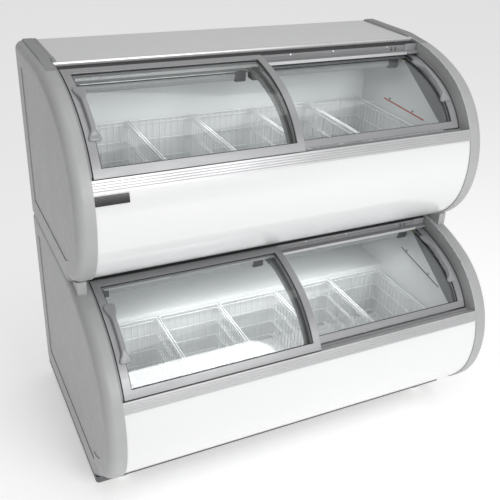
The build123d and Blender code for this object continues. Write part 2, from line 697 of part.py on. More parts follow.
with BuildPart() as rocker:
    pivot_y = face_y - 1.0
    low, high = PANEL_Z - 16.0, PANEL_Z + 16.0
    with BuildSketch(Plane.YZ.offset(SWITCH_X)):
        with BuildLine():
            ThreePointArc((pivot_y + 5.5, high), (pivot_y + 8, PANEL_Z), (pivot_y + 5.5, low))
            Polyline((pivot_y + 5.5, low), (pivot_y - 5, low + 9), (pivot_y - 5, high - 9), (pivot_y + 5.5, high))
        make_face()
    extrude(amount=11.8, both=True)
save(rocker, "power_switch")

with BuildPart() as gland:
    with BuildSketch(Plane.XZ.offset(-face_y)):
        with Locations((GLAND_X, PANEL_Z)):
            RegularPolygon(13, 6)
    extrude(amount=-6)
    with BuildSketch(Plane.XZ.offset(-(face_y + 6))):
        with Locations((GLAND_X, PANEL_Z)):
            Circle(11)
    extrude(amount=-12, taper=8)
    with BuildSketch(Plane.XZ.offset(-face_y)):
        with Locations((GLAND_X, PANEL_Z)):
            Circle(GLAND_R)
    extrude(amount=14)
    with BuildSketch(Plane.XZ.offset(-(face_y + 20))):
        with Locations((GLAND_X, PANEL_Z)):
            Circle(CABLE_R)
    extrude(amount=40, mode=Mode.SUBTRACT)
save(gland, "mains_gland")

COMPRESSOR = (-480.0, 190.0)
with BuildPart() as compressor:
    cx, cy = COMPRESSOR[0], BACK - COMPRESSOR[1]
    shell = [(0, 38), (62, 38), (88, 58), (92, 120), (86, 170), (58, 196), (0, 204)]
    with BuildSketch(Plane(origin=(cx, cy, BAY_FLOOR), x_dir=(1, 0, 0), z_dir=(0, -1, 0))):
        with BuildLine():
            Line(shell[0], shell[1])
            Spline(*shell[1:], tangents=[(1, 0.2), (-1, 0)])
            Line(shell[-1], shell[0])
        make_face()
    revolve(axis=Axis((cx, cy, 0), (0, 0, 1)))
    with BuildSketch(Plane.XY.offset(BAY_FLOOR + 22)):
        with Locations((cx, cy)):
            RectangleRounded(220, 170, 18)
    extrude(amount=4)
    with BuildSketch(Plane.XY.offset(BAY_FLOOR + 26)):
        with Locations((cx, cy)):
            Circle(60)
    extrude(amount=14)
    with BuildSketch(Plane.XY.offset(BAY_FLOOR)):
        with Locations((cx, cy)):
            with GridLocations(180, 130, 2, 2):
                Circle(13)
    extrude(amount=22)
    with BuildSketch(Plane.YZ.offset(cx + 80)):
        with Locations((cy, BAY_FLOOR + 115)):
            RectangleRounded(64, 78, 6)
    extrude(amount=42)
save(compressor, "compressor")

CONDENSER_X, CONDENSER_W, CONDENSER_H, CONDENSER_T = -40.0, 300.0, 240.0, 66.0
FAN_X = CONDENSER_X
FAN_Z = BAY_FLOOR + CONDENSER_H / 2
condenser_y = BACK - 20
with BuildPart() as condenser:
    fins = 37
    with BuildSketch(Plane.XY.offset(BAY_FLOOR)):
        with Locations((CONDENSER_X, condenser_y - CONDENSER_T / 2)):
            with GridLocations((CONDENSER_W - 4) / (fins - 1), 1, fins, 1):
                Rectangle(1.2, CONDENSER_T)
    extrude(amount=CONDENSER_H)
    with BuildSketch(Plane.YZ.offset(CONDENSER_X - CONDENSER_W / 2)):
        with Locations((condenser_y - CONDENSER_T / 2, BAY_FLOOR + CONDENSER_H / 2)):
            with GridLocations(32, 34, 2, 7):
                Circle(4)
    extrude(amount=CONDENSER_W)
save(condenser, "condenser")

FAN_R = 104.0
shroud_y = condenser_y - CONDENSER_T
with BuildPart() as shroud:
    with BuildSketch(Plane.XZ.offset(-shroud_y)):
        with Locations((FAN_X, FAN_Z)):
            Rectangle(CONDENSER_W, CONDENSER_H)
            Circle(FAN_R + 5, mode=Mode.SUBTRACT)
    extrude(amount=2)
    with BuildSketch(Plane.XZ.offset(-shroud_y)):
        with Locations((FAN_X, FAN_Z)):
            Circle(FAN_R + 7)
            Circle(FAN_R + 5, mode=Mode.SUBTRACT)
    extrude(amount=45)
    with BuildSketch(Plane.XZ.offset(-(shroud_y - 43))):
        with Locations((FAN_X, FAN_Z)):
            Rectangle(14, 2 * FAN_R + 12)
            Rectangle(2 * FAN_R + 12, 14)
    extrude(amount=3)
    with BuildSketch(Plane.XZ.offset(-(shroud_y - 40))):
        with Locations((FAN_X, FAN_Z)):
            Circle(34)
    extrude(amount=62)
    with BuildSketch(Plane.XZ.offset(-(shroud_y - 8))):
        with Locations((FAN_X, FAN_Z)):
            Circle(4)
    extrude(amount=34)
save(shroud, "fan_motor_and_shroud")

with BuildPart() as fan:
    hub_y = shroud_y - 14
    with BuildSketch(Plane.XZ.offset(-hub_y)):
        with Locations((FAN_X, FAN_Z)):
            Circle(26)
    extrude(amount=20)
    for i in range(5):
        turn, tilt = radians(72 * i), radians(32)
        outward = (cos(turn), 0, sin(turn))
        facing = (-sin(turn) * sin(tilt), -cos(tilt), cos(turn) * sin(tilt))
        blade = Plane(origin=(FAN_X, hub_y - 10, FAN_Z), x_dir=outward, z_dir=facing)
        with BuildSketch(blade):
            with Locations((62, 0)):
                SlotOverall(82, 34)
        extrude(amount=0.9, both=True)
    with BuildSketch(Plane.XZ.offset(-(hub_y + 5))):
        with Locations((FAN_X, FAN_Z)):
            Circle(4 + RUNNING)
    extrude(amount=40, mode=Mode.SUBTRACT)
save(fan, "condenser_fan")

with BuildPart() as screws:
    screw_heads(Mode.ADD)
save(screws, "rear_screws")
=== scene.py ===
import bpy
import bmesh
import random
from math import sin, cos, pi, radians, sqrt
from mathutils import Matrix, Vector


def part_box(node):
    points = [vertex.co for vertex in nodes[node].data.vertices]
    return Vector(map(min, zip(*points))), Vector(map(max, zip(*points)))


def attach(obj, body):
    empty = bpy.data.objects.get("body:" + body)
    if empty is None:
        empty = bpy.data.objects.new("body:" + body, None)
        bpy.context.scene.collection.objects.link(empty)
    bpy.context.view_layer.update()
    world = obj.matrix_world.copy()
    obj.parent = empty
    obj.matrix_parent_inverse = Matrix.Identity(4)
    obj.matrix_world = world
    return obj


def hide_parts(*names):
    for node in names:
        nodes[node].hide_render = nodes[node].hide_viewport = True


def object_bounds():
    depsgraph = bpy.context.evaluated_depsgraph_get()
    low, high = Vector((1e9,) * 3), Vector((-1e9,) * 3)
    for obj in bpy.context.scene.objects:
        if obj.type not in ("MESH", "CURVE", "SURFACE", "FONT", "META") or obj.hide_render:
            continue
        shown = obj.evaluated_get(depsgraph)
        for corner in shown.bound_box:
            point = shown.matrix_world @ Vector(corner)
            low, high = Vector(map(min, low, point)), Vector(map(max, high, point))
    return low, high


# Looks of a double-deck display freezer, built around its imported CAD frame.
# Metres, +Z up, -Y towards the customer.

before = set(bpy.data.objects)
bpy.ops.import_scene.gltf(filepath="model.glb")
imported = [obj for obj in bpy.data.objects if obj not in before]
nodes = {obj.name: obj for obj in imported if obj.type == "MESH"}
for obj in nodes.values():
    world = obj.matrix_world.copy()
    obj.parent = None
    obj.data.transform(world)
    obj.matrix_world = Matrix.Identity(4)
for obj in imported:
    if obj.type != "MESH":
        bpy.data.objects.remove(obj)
cad_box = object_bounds()
random.seed(7)

# ---------------------------------------------------------------- places, read off the frame
BACK = cad_box[1].y
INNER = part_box("upper_right_cheek")[0].x
TUB_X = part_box("upper_liner")[1].x - 0.002
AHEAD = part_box("upper_front_panel")[0].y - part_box("lower_front_panel")[0].y
DECKS = {
    "upper": (0.0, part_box("upper_top_sheet")[1].z),
    "lower": (AHEAD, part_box("lower_top_sheet")[1].z),
}
SIDES = ("left", "right")
CORNERS = ("front_left", "front_right", "rear_left", "rear_right")

# A deck's front is three tangent arcs, each (radius, angle from straight up where it ends)
ARC_START = 0.270
ARCS = [(0.680, 26.0), (0.345, 105.0), (0.250, 180.0)]
LID_IN = {"left": 0.006, "right": 0.050}        # a lid's outer face, in from the front's curve
LID_TOP = {"left": 8.1, "right": 4.5}           # degrees
LID_BOTTOM = {"left": 65.3, "right": 63.3}      # degrees
LID_T = 0.018
STILE_W = 0.026
TOP_RAIL, BOTTOM_RAIL = 2.7, 4.8                # degrees of a lid's arc


def place(deck, forward, below):
    """(y, z) of a point in front of a deck's back plane and below its top."""
    ahead, top = DECKS[deck]
    return (BACK - ahead - forward, top - below)


def front_point(deck, inset, angle):
    """(y, z) on a deck's front, inset below its curve, at an angle from straight up."""
    y, z = place(deck, ARC_START, ARCS[0][0])
    for (radius, end), (following, _) in zip(ARCS, ARCS[1:] + [(0, 0)]):
        if angle <= end:
            reach = radius - inset
            return (y - reach * sin(radians(angle)), z + reach * cos(radians(angle)))
        y -= (radius - following) * sin(radians(end))
        z += (radius - following) * cos(radians(end))
    raise ValueError("angle beyond the front")


# ---------------------------------------------------------------- mesh helpers
def add_piece(bm, name, body, material, crease=35.0, replaces=()):
    """Makes an object of a bmesh, rides it on a body and gives it a finish."""
    bmesh.ops.recalc_face_normals(bm, faces=bm.faces)
    mesh = bpy.data.meshes.new(name)
    bm.to_mesh(mesh)
    bm.free()
    obj = bpy.data.objects.new(name, mesh)
    bpy.context.scene.collection.objects.link(obj)
    mesh.materials.append(material)
    mesh.polygons.foreach_set("use_smooth", [True] * len(mesh.polygons))
    mesh.set_sharp_from_angle(angle=radians(crease))
    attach(obj, body)
    if replaces:
        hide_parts(*replaces)
    return obj


def add_tube(bm, points, normal, radius, sides, closed=False):
    """A round wire along points that lie in one plane, mitred at its corners."""
    points = [Vector(p) for p in points]
    normal = Vector(normal).normalized()
    count = len(points)
    rings = []
    for i, p in enumerate(points):
        before = points[i - 1] if closed or i > 0 else None
        after = points[(i + 1) % count] if closed or i < count - 1 else None
        into = (p - before).normalized() if before is not None else (after - p).normalized()
        out = (after - p).normalized() if after is not None else into
        tangent = (into + out).normalized()
        across = tangent.cross(normal).normalized()
        mitre = 1 / max(0.5, tangent.dot(into))
        ring = []
        for k in range(sides):
            turn = 2 * pi * (k + 0.5) / sides
            ring.append(bm.verts.new(p + radius * (cos(turn) * normal + sin(turn) * mitre * across)))
        rings.append(ring)
    steps = count if closed else count - 1
    for i in range(steps):
        a, b = rings[i], rings[(i + 1) % count]
        for k in range(sides):
            bm.faces.new((a[k], a[(k + 1) % sides], b[(k + 1) % sides], b[k]))
    if not closed:
        bm.faces.new(rings[0])
        bm.faces.new(rings[-1])


ROUND_STEPS = 3


def rounded(points, radius, closed=False):
    """The points of a polygon with its corners rounded."""
    points = [Vector(p) for p in points]
    count = len(points)
    result = []
    for i, p in enumerate(points):
        if not closed and i in (0, count - 1):
            result.append(p)
            continue
        a, b = points[i - 1], points[(i + 1) % count]
        u, v = (a - p).normalized(), (b - p).normalized()
        fold = sqrt((1 - u.dot(v)) / (1 + u.dot(v) + 1e-9))
        reach = min(radius / max(0.2, fold ** -1), (a - p).length / 2, (b - p).length / 2)
        start, end = p + u * reach, p + v * reach
        for k in range(ROUND_STEPS + 1):
            t = k / ROUND_STEPS
            result.append((1 - t) ** 2 * start + 2 * t * (1 - t) * p + t * t * end)
    return result


def add_prism(bm, section, x0, x1, chamfer=0.0):
    """A closed (y, z) section run along X, with its ends drawn in a little when chamfered."""
    middle = Vector((0, 0))
    for p in section:
        middle += Vector(p) / len(section)
    stations = [(x0, 0), (x1, 0)]
    if chamfer:
        stations = [(x0, chamfer), (x0 + chamfer, 0), (x1 - chamfer, 0), (x1, chamfer)]
    rings = []
    for x, pull in stations:
        ring = []
        for p in section:
            away = Vector(p) - middle
            q = Vector(p) - away.normalized() * pull
            ring.append(bm.verts.new((x, q.x, q.y)))
        rings.append(ring)
    count = len(section)
    for a, b in zip(rings, rings[1:]):
        for k in range(count):
            bm.faces.new((a[k], a[(k + 1) % count], b[(k + 1) % count], b[k]))
    bm.faces.new(rings[0])
    bm.faces.new(rings[-1])


def add_turned(bm, profile, origin, axis, sides):
    """A lathe shape of (radius, distance along axis) points. An end is closed where its radius is zero."""
    origin, axis = Vector(origin), Vector(axis).normalized()
    u = axis.orthogonal().normalized()
    v = axis.cross(u)
    rings = []
    for r, d in profile:
        if r < 1e-7:
            rings.append([bm.verts.new(origin + axis * d)])
            continue
        turns = [2 * pi * k / sides for k in range(sides)]
        rings.append([bm.verts.new(origin + axis * d + r * (cos(t) * u + sin(t) * v)) for t in turns])
    for a, b in zip(rings, rings[1:]):
        for k in range(sides):
            if len(a) == 1:
                bm.faces.new((a[0], b[(k + 1) % sides], b[k]))
            elif len(b) == 1:
                bm.faces.new((a[k], a[(k + 1) % sides], b[0]))
            else:
                bm.faces.new((a[k], a[(k + 1) % sides], b[(k + 1) % sides], b[k]))


def add_block(bm, low, high, bevel, segments=2):
    """A box between two corners with rounded edges. Returns its vertices."""
    before = set(bm.verts)
    low, high = Vector(low), Vector(high)
    made = bmesh.ops.create_cube(bm, size=1.0)["verts"]
    for v in made:
        v.co = Vector(low[i] + (v.co[i] + 0.5) * (high[i] - low[i]) for i in range(3))
    edges = list({e for v in made for e in v.link_edges})
    bmesh.ops.bevel(bm, geom=edges, offset=bevel, segments=segments, profile=0.5, affect="EDGES")
    return [v for v in bm.verts if v not in before]


# ---------------------------------------------------------------- materials
class Finish:
    """A Principled material whose detail comes from nodes in object space."""

    def __init__(self, name, colour, rough, metal=0.0):
        self.material = bpy.data.materials.new(name)
        self.material.use_nodes = True
        self.tree = self.material.node_tree
        self.shader = self.tree.nodes["Principled BSDF"]
        self.shader.inputs["Base Color"].default_value = (*colour, 1)
        self.shader.inputs["Roughness"].default_value = rough
        self.shader.inputs["Metallic"].default_value = metal
        self.colour, self.rough = colour, rough
        self.coords = self.tree.nodes.new("ShaderNodeTexCoord").outputs["Object"]
        self.height = None

    def node(self, kind, **inputs):
        made = self.tree.nodes.new("ShaderNode" + kind)
        for key, value in inputs.items():
            made.inputs[key.replace("_", " ")].default_value = value
        return made

    def link(self, a, b):
        self.tree.links.new(a, b)

    def noise(self, scale, detail=3.0, stretch=(1, 1, 1), roughness=0.55):
        """A noise value whose features are about 1/scale metres."""
        mapping = self.node("Mapping", Scale=stretch)
        self.link(self.coords, mapping.inputs["Vector"])
        texture = self.node("TexNoise", Scale=scale, Detail=detail, Roughness=roughness)
        self.link(mapping.outputs["Vector"], texture.inputs["Vector"])
        return texture.outputs["Fac"]

    def tint(self, value, dark, light, first=0.3, last=0.7):
        """Base colour between two multiples or colours, set by a value."""
        ramp = self.node("ValToRGB")
        self.link(value, ramp.inputs["Fac"])
        for element, shade, at in zip(ramp.color_ramp.elements, (dark, light), (first, last)):
            element.position = at
            tone = shade if isinstance(shade, tuple) else tuple(min(1.0, c * shade) for c in self.colour)
            element.color = (*tone, 1)
        self.link(ramp.outputs["Color"], self.shader.inputs["Base Color"])
        return ramp

    def polish(self, value, low, high):
        """Roughness between two numbers, set by a value."""
        spread = self.node("MapRange", From_Min=0.3, From_Max=0.7, To_Min=low, To_Max=high)
        self.link(value, spread.inputs["Value"])
        self.link(spread.outputs["Result"], self.shader.inputs["Roughness"])

    def bump(self, value, depth, strength=1.0):
        """Relief of a depth in metres, added to the relief so far."""
        relief = self.node("Bump", Strength=strength, Distance=depth)
        self.link(value, relief.inputs["Height"])
        if self.height:
            self.link(self.height, relief.inputs["Normal"])
        self.height = relief.outputs["Normal"]
        self.link(self.height, self.shader.inputs["Normal"])


def moulded(name, colour, rough, grain=1500.0, depth=0.00008):
    """Injection-moulded plastic with a fine leather grain and slight mottling."""
    f = Finish(name, colour, rough)
    f.tint(f.noise(9, 4), 0.955, 1.03)
    f.polish(f.noise(40, 3), rough - 0.05, rough + 0.07)
    cells = f.node("TexVoronoi", Scale=grain)
    f.link(f.coords, cells.inputs["Vector"])
    f.bump(cells.outputs["Distance"], depth, 0.5)
    f.bump(f.noise(7, 2), 0.0006, 0.25)
    return f.material


def extruded(name, colour, rough, metal):
    """Satin profile drawn along X: fine die lines and a soft sheen."""
    f = Finish(name, colour, rough, metal)
    lines = f.noise(900, 2, (0.02, 1, 1))
    f.tint(lines, 0.95, 1.04)
    f.polish(f.noise(30, 3, (0.15, 1, 1)), rough - 0.05, rough + 0.08)
    f.bump(lines, 0.00006, 0.4)
    return f.material


def enamelled(name, colour, rough, peel=0.00008, coat=0.6):
    """Powder coat: gloss with a faint orange peel."""
    f = Finish(name, colour, rough)
    f.shader.inputs["Coat Weight"].default_value = coat
    f.shader.inputs["Coat Roughness"].default_value = 0.06
    f.tint(f.noise(3, 3), 0.985, 1.0)
    f.polish(f.noise(25, 4), rough - 0.03, rough + 0.05)
    f.bump(f.noise(230, 2), peel, 0.6)
    return f.material


def galvanised(name, colour, rough):
    """Zinc-coated sheet with its crystals."""
    f = Finish(name, colour, rough, 0.85)
    cells = f.node("TexVoronoi", Scale=120.0)
    f.link(f.coords, cells.inputs["Vector"])
    split = f.node("SeparateColor")
    f.link(cells.outputs["Color"], split.inputs["Color"])
    f.tint(split.outputs["Red"], 0.92, 1.05, 0.0, 1.0)
    f.polish(split.outputs["Green"], rough - 0.08, rough + 0.1)
    f.bump(f.noise(300, 2), 0.00005, 0.4)
    return f.material


def plated(name, colour, other, rough=0.34):
    """Passivated zinc plate, drifting between two tints."""
    f = Finish(name, colour, rough, 0.85)
    f.tint(f.noise(45, 4), colour, other)
    f.polish(f.noise(120, 3), rough - 0.08, rough + 0.12)
    f.bump(f.noise(700, 2), 0.00004, 0.5)
    return f.material


def wire_coated(name, colour):
    """Dipped white coating on wire, with a slight ripple."""
    f = Finish(name, colour, 0.3)
    f.shader.inputs["Coat Weight"].default_value = 0.4
    f.tint(f.noise(60, 3), 0.95, 1.0)
    f.bump(f.noise(350, 2), 0.0001, 0.5)
    return f.material


def black_rubber(name, colour=(0.025, 0.025, 0.027), rough=0.6):
    """Matt black rubber or plastic, slightly uneven."""
    f = Finish(name, colour, rough)
    f.tint(f.noise(80, 4), 0.8, 1.25)
    f.polish(f.noise(50, 3), rough - 0.08, rough + 0.1)
    f.bump(f.noise(1200, 2), 0.00005, 0.5)
    return f.material


def pile_brush(name):
    """Brush seal: stiff dark bristles side by side."""
    f = Finish(name, (0.06, 0.062, 0.066), 0.85)
    bristles = f.noise(1600, 2, (0.06, 1, 1))
    f.tint(bristles, 0.55, 1.7)
    f.shader.inputs["Sheen Weight"].default_value = 0.3
    f.bump(bristles, 0.0004, 0.8)
    return f.material


def pane(name):
    """Clear tempered glass: it shows what is behind and mirrors the lights."""
    f = Finish(name, (0.8, 0.88, 0.86), 0.02)
    through = f.node("BsdfTransparent", Color=(0.95, 0.962, 0.958, 1))
    mirror = f.node("BsdfAnisotropic")
    mirror.inputs["Color"].default_value = (1, 1, 1, 1)
    mirror.inputs["Roughness"].default_value = 0.03
    facing = f.node("LayerWeight", Blend=0.5).outputs["Facing"]
    grazing = f.node("Math")
    grazing.operation = "POWER"
    grazing.inputs[1].default_value = 5.0
    f.link(facing, grazing.inputs[0])
    share = f.node("MapRange", To_Min=0.04, To_Max=0.9)
    f.link(grazing.outputs["Value"], share.inputs["Value"])
    mix = f.node("MixShader")
    f.link(share.outputs["Result"], mix.inputs["Fac"])
    f.link(through.outputs["BSDF"], mix.inputs[1])
    f.link(mirror.outputs["BSDF"], mix.inputs[2])
    wipe = f.noise(5, 3, (1, 0.6, 0.6))
    smear = f.node("MapRange", From_Min=0.35, From_Max=0.75, To_Min=0.02, To_Max=0.09)
    f.link(wipe, smear.inputs["Value"])
    f.link(smear.outputs["Result"], mirror.inputs["Roughness"])
    output = f.tree.nodes["Material Output"]
    f.link(mix.outputs["Shader"], output.inputs["Surface"])
    f.tree.nodes.remove(f.shader)
    return f.material


def diffuser(name):
    """Frosted lamp cover with fine ribs round it."""
    f = Finish(name, (0.47, 0.475, 0.48), 0.4)
    f.shader.inputs["Subsurface Weight"].default_value = 0.2
    f.shader.inputs["Subsurface Radius"].default_value = (0.004, 0.004, 0.004)
    f.tint(f.noise(12, 2), 0.94, 1.04)
    f.bump(f.noise(500, 1, (0.02, 1, 1)), 0.0002, 0.5)
    return f.material


def lit_lens(name):
    """Clear silicone domes over small lights that glow faintly."""
    f = Finish(name, (0.50, 0.505, 0.50), 0.25)
    f.tint(f.noise(400, 2), 0.85, 1.0)
    f.bump(f.noise(900, 2), 0.00003, 0.5)
    f.shader.inputs["Emission Color"].default_value = (1, 1, 0.97, 1)
    f.shader.inputs["Emission Strength"].default_value = 0.14
    return f.material


def cast_foam(name):
    """Open-grained insulating foam."""
    f = Finish(name, (0.78, 0.66, 0.38), 0.9)
    f.tint(f.noise(150, 5), 0.82, 1.1)
    f.bump(f.noise(600, 4), 0.0008, 0.8)
    return f.material


def aged_copper(name):
    """Copper tube, browned in patches."""
    f = Finish(name, (0.72, 0.36, 0.2), 0.3, 1.0)
    f.tint(f.noise(35, 4), (0.5, 0.22, 0.12), (0.78, 0.42, 0.26))
    f.polish(f.noise(60, 3), 0.22, 0.45)
    return f.material


CHEEK = moulded("moulded_grey", (0.385, 0.387, 0.391), 0.42)
TRIM = moulded("moulded_dark_grey", (0.27, 0.272, 0.277), 0.45)
SURROUND = moulded("moulded_mid_grey", (0.235, 0.237, 0.242), 0.4)
LID = extruded("satin_profile", (0.33, 0.332, 0.338), 0.38, 0.3)
RAIL = extruded("bumper_profile", (0.50, 0.502, 0.508), 0.34, 0.35)
GRIP = moulded("grip_grey", (0.29, 0.293, 0.3), 0.3, 2500.0, 0.00003)
WHITE = enamelled("white_enamel", (0.73, 0.733, 0.738), 0.18)
LINER = enamelled("white_liner", (0.80, 0.81, 0.82), 0.34, 0.00012, 0.2)
DECK = enamelled("silver_enamel", (0.67, 0.672, 0.677), 0.33, 0.00006, 0.3)
GALVANISED = galvanised("galvanised_sheet", (0.5, 0.51, 0.52), 0.42)
GLASS = pane("tempered_glass")
LAMP = diffuser("lamp_cover")
FOAM = cast_foam("foam")
COPPER = aged_copper("copper")
WIRE = wire_coated("coated_wire", (0.84, 0.845, 0.85))
BADGE = enamelled("gloss_black", (0.008, 0.008, 0.009), 0.25, 0.00002, 0.15)
PAN = enamelled("dark_powder_coat", (0.10, 0.102, 0.107), 0.45, 0.0001, 0.1)
ZINC = plated("yellow_zinc", (0.62, 0.56, 0.33), (0.66, 0.64, 0.52))
BRIGHT = plated("bright_zinc", (0.6, 0.61, 0.63), (0.7, 0.7, 0.71), 0.26)
NYLON = moulded("pale_nylon", (0.66, 0.69, 0.71), 0.4, 900.0, 0.00004)
BLACK_METAL = enamelled("black_enamel", (0.02, 0.02, 0.021), 0.35, 0.00015, 0.2)
BLACK = black_rubber("black_moulding", (0.03, 0.03, 0.032), 0.5)
RUBBER = black_rubber("seal_rubber")
BRUSH = pile_brush("brush_pile")
FINS = extruded("fin_aluminium", (0.6, 0.6, 0.61), 0.35, 0.9)
GREEN = enamelled("green_rocker", (0.02, 0.2, 0.05), 0.2, 0.00002, 0.6)
RED_LINE = enamelled("red_mark", (0.5, 0.06, 0.03), 0.4, 0.00002, 0.0)
GREY_LINE = enamelled("grey_mark", (0.09, 0.09, 0.1), 0.4, 0.00002, 0.0)
PALE = enamelled("pale_mark", (0.75, 0.75, 0.74), 0.4, 0.00002, 0.0)
EDGE = extruded("bright_edge", (0.68, 0.683, 0.69), 0.28, 0.45)
HEADER_END = moulded("moulded_end_grey", (0.25, 0.253, 0.258), 0.42)
LENS = lit_lens("led_lens")

NODE_FINISH = {
    "cheek": CHEEK, "top_sheet": DECK, "front_panel": WHITE, "back_sheet": GALVANISED, "liner": LINER,
    "insulation": FOAM, "bumper_rail": RAIL, "lid_surround": SURROUND, "glass": GLASS, "frame": LID,
    "handle": GRIP, "lamp": LAMP, "evaporator_tube": COPPER, "baskets": WIRE, "bottom_sheet": GALVANISED,
    "trim_strips": TRIM, "spacers": CHEEK, "badge_plate": BADGE, "base_pan": PAN, "caster_plates": ZINC,
    "fork": ZINC, "wheel": NYLON, "grille": GALVANISED, "control_box": BLACK, "knob": BLACK, "switch": GREEN,
    "gland": BLACK, "compressor": BLACK_METAL, "condenser": FINS, "shroud": BLACK_METAL,
    "condenser_fan": BLACK, "screws": BRIGHT,
}
for name, node in nodes.items():
    matches = [key for key in NODE_FINISH if key in name]
    finish = NODE_FINISH[max(matches, key=len)]
    node.data.materials.clear()
    node.data.materials.append(finish)
    node.data.polygons.foreach_set("material_index", [0] * len(node.data.polygons))


# ---------------------------------------------------------------- wire baskets
BASKETS, BASKET_PITCH, BASKET_W = 5, 0.254, 0.250
BASKET_SIDE = {      # back, rim, floor, front at the floor, front at the rim
    "upper": (0.107, 0.290, 0.539, 0.624, 0.645),
    "lower": (0.194, 0.325, 0.563, 0.618, 0.645),
}
RIM_R, HOOP_R, WIRE_R = 0.0028, 0.0022, 0.0015
MESH_STEP = 0.025
HOOPS = (0.33, 0.62, 0.9)           # levels of the lower hoops, as shares of the basket's depth
UPPER_HOOP = 0.018                  # below the rim
HOOP_CORNER, WIRE_BEND = 0.014, 0.012


def basket_front(deck, below):
    """How far forward a basket's sloping front is at a depth."""
    _, rim, floor, low, high = BASKET_SIDE[deck]
    return low + (high - low) * (floor - below) / (floor - rim)


def wire_basket(deck, index):
    """One basket: hoops round it, wires over its sides and under its floor."""
    back, rim, floor, front_low, front_high = BASKET_SIDE[deck]
    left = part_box(f"{deck}_baskets")[0].x + index * BASKET_PITCH
    right = left + BASKET_W
    bm = bmesh.new()

    def at(x, forward, below):
        return (x, *place(deck, forward, below))

    def hoop(below, radius):
        front = basket_front(deck, below) - radius
        ring = [at(left + radius, back + radius, below), at(right - radius, back + radius, below),
                at(right - radius, front, below), at(left + radius, front, below)]
        add_tube(bm, rounded(ring, HOOP_CORNER, True), (0, 0, 1), radius, 8, True)

    top = rim + RIM_R
    hoop(top, RIM_R)
    hoop(rim + UPPER_HOOP, HOOP_R)
    for share in HOOPS:
        hoop(rim + share * (floor - rim), HOOP_R)
    inset = RIM_R + WIRE_R
    count = int(BASKET_W / MESH_STEP) - 1
    for i in range(count):
        x = left + BASKET_W / 2 + (i - (count - 1) / 2) * MESH_STEP
        route = [at(x, back + inset, top), at(x, back + inset, floor - WIRE_R),
                 at(x, front_low - inset, floor - WIRE_R), at(x, front_high - inset, top)]
        add_tube(bm, rounded(route, WIRE_BEND), (1, 0, 0), WIRE_R, 6)
    forward = back + MESH_STEP
    while forward < front_high - 0.01:
        if forward < front_low - WIRE_BEND:
            route = [at(left + inset, forward, top), at(left + inset, forward, floor - 3 * WIRE_R),
                     at(right - inset, forward, floor - 3 * WIRE_R), at(right - inset, forward, top)]
            add_tube(bm, rounded(route, WIRE_BEND), (0, 1, 0), WIRE_R, 6)
        forward += MESH_STEP
    return bm


for deck in DECKS:
    for index in range(BASKETS):
        stands_for = (f"{deck}_baskets",) if index == 0 else ()
        add_piece(wire_basket(deck, index), f"{deck}_wire_basket_{index + 1}", "cabinet",
                  WIRE, 50.0, stands_for)


# ---------------------------------------------------------------- lid handles, gaskets and brushes
HANDLE_SPAN = {"left": (18.0, 46.6), "right": (12.8, 43.2)}     # angles where a grip starts and ends
LOBE, WAIST, RISE, DISH = 0.0208, 0.0095, 0.0155, 0.0022        # half widths, height, hollow in the feet
GRIP_IN = 0.027           # grip's middle from the lid's outer edge


def smooth_step(low, high, value):
    """Zero at low, one at high, and eased between them."""
    t = min(1.0, max(0.0, (value - low) / (high - low)))
    return t * t * (3 - 2 * t)


def handle(deck, side):
    """A bone-shaped grip: flat broad feet at both ends, a raised waisted bow between."""
    low, high = (c.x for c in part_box(f"{deck}_lid_{side}_frame"))
    middle_x = low + GRIP_IN if side == "left" else high - GRIP_IN
    outer = LID_IN[side]
    first, last = HANDLE_SPAN[side]
    along, across = 56, 20
    bm = bmesh.new()
    rings = []
    for i in range(along + 1):
        t = i / along
        angle = first + (last - first) * t
        end = abs(2 * t - 1)        # zero at the grip's middle, one at its tips
        half = WAIST + (LOBE - WAIST) * smooth_step(0.6, 0.9, end)
        tip = smooth_step(0.0, 0.07, 1 - end)
        half *= 0.7 + 0.3 * sqrt(tip)
        crown = RISE * (0.52 + 0.48 * smooth_step(0.88, 0.5, end)) * (0.3 + 0.7 * sqrt(tip))
        dish = DISH * smooth_step(0.68, 0.92, end)
        ring = []
        for k in range(across + 1):
            s = 2 * k / across - 1
            lift = crown * max(0.0, 1 - abs(s) ** 5) ** 0.5 - dish * (1 - s * s) ** 2 * tip
            y, z = front_point(deck, outer - lift, angle)
            ring.append(bm.verts.new((middle_x + s * half, y, z)))
        y, z = front_point(deck, outer + 0.001, angle)
        ring.append(bm.verts.new((middle_x + half, y, z)))
        ring.append(bm.verts.new((middle_x - half, y, z)))
        rings.append(ring)
    count = len(rings[0])
    for a, b in zip(rings, rings[1:]):
        for k in range(count):
            bm.faces.new((a[k], a[(k + 1) % count], b[(k + 1) % count], b[k]))
    bm.faces.new(rings[0])
    bm.faces.new(rings[-1])
    return bm


def arc_strip(bm, deck, x0, x1, outer, inner, first, last, steps=26):
    """A band that follows the front's curve between two angles."""
    section = [front_point(deck, outer, first + (last - first) * i / steps) for i in range(steps + 1)]
    section += [front_point(deck, inner, last - (last - first) * i / steps) for i in range(steps + 1)]
    rings = [[bm.verts.new((x, *p)) for p in section] for x in (x0, x1)]
    count = len(section)
    for k in range(count):
        bm.faces.new((rings[0][k], rings[0][(k + 1) % count], rings[1][(k + 1) % count], rings[1][k]))
    for ring in rings:
        for i in range(steps):
            bm.faces.new((ring[i], ring[i + 1], ring[count - 2 - i], ring[count - 1 - i]))


